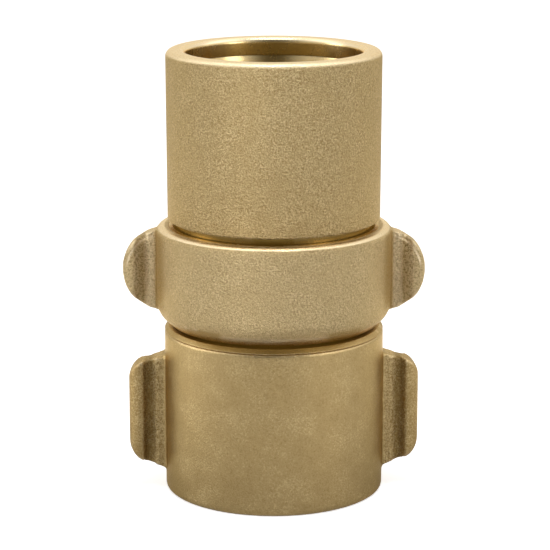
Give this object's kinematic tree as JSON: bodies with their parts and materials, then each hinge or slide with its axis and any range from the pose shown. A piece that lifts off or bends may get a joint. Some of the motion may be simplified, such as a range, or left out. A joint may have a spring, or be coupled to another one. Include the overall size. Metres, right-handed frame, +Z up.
{
  "type": "fire hose coupling",
  "caption": "Brass fire hose coupling: a male half with tall rocker lugs screwed into a swivel half with round lugs, each with a ribbed bowl that grips the hose.",
  "frame": {"origin": "centre of the lower hose bowl's mouth, on the surface the coupling stands on", "axes": "+Z up the waterway's axis, +X towards a swivel lug, +Y away from the viewer of the picture, towards the filling plug"},
  "size_m": [0.081, 0.0628, 0.1191],
  "materials": {
    "cast_brass_lower": "tumbled casting",
    "cast_brass_upper": "shot-blasted casting",
    "cast_brass_swivel": "shot-blasted casting",
    "rubber": "matt",
    "drawn_brass": "bright drawn",
    "turned_brass": "turned",
    "ball_steel": "ground"
  },
  "bodies": {
    "male_half": {"male_body": "cast_brass_lower", "male_tail_gasket": "rubber", "male_expansion_ring": "drawn_brass"},
    "female_half": {"female_tailpiece": "cast_brass_upper", "female_tail_gasket": "rubber", "female_expansion_ring": "drawn_brass", "ball_01": "ball_steel", "ball_02": "ball_steel", "ball_03": "ball_steel", "ball_04": "ball_steel", "ball_05": "ball_steel", "ball_06": "ball_steel", "ball_07": "ball_steel", "ball_08": "ball_steel", "ball_09": "ball_steel", "ball_10": "ball_steel", "ball_11": "ball_steel", "ball_12": "ball_steel", "ball_13": "ball_steel", "ball_14": "ball_steel", "ball_15": "ball_steel", "ball_16": "ball_steel", "ball_17": "ball_steel", "ball_18": "ball_steel", "ball_19": "ball_steel", "ball_20": "ball_steel", "ball_21": "ball_steel", "ball_22": "ball_steel", "ball_23": "ball_steel", "ball_24": "ball_steel", "ball_25": "ball_steel", "ball_26": "ball_steel", "ball_27": "ball_steel", "ball_28": "ball_steel", "ball_29": "ball_steel", "ball_30": "ball_steel", "ball_31": "ball_steel", "ball_32": "ball_steel", "ball_33": "ball_steel", "ball_34": "ball_steel"},
    "swivel": {"swivel_ring": "cast_brass_swivel", "swivel_gasket": "rubber", "race_plug": "turned_brass"}
  },
  "joints": [
    {"name": "thread_rise", "type": "slide", "parent": "male_half", "child": "female_half", "axis": [0, 0, 1], "range_m": [0, 0.0113]},
    {"name": "swivel_turn", "type": "hinge", "parent": "female_half", "child": "swivel", "pos_m": [0, 0, 0.0602], "axis": [0, 0, 1], "range_deg": [0, 1440]}
  ],
  "couplings": [
    {"joint": "thread_rise", "follows": "swivel_turn", "m_per_rad": 0.00044917}
  ]
}
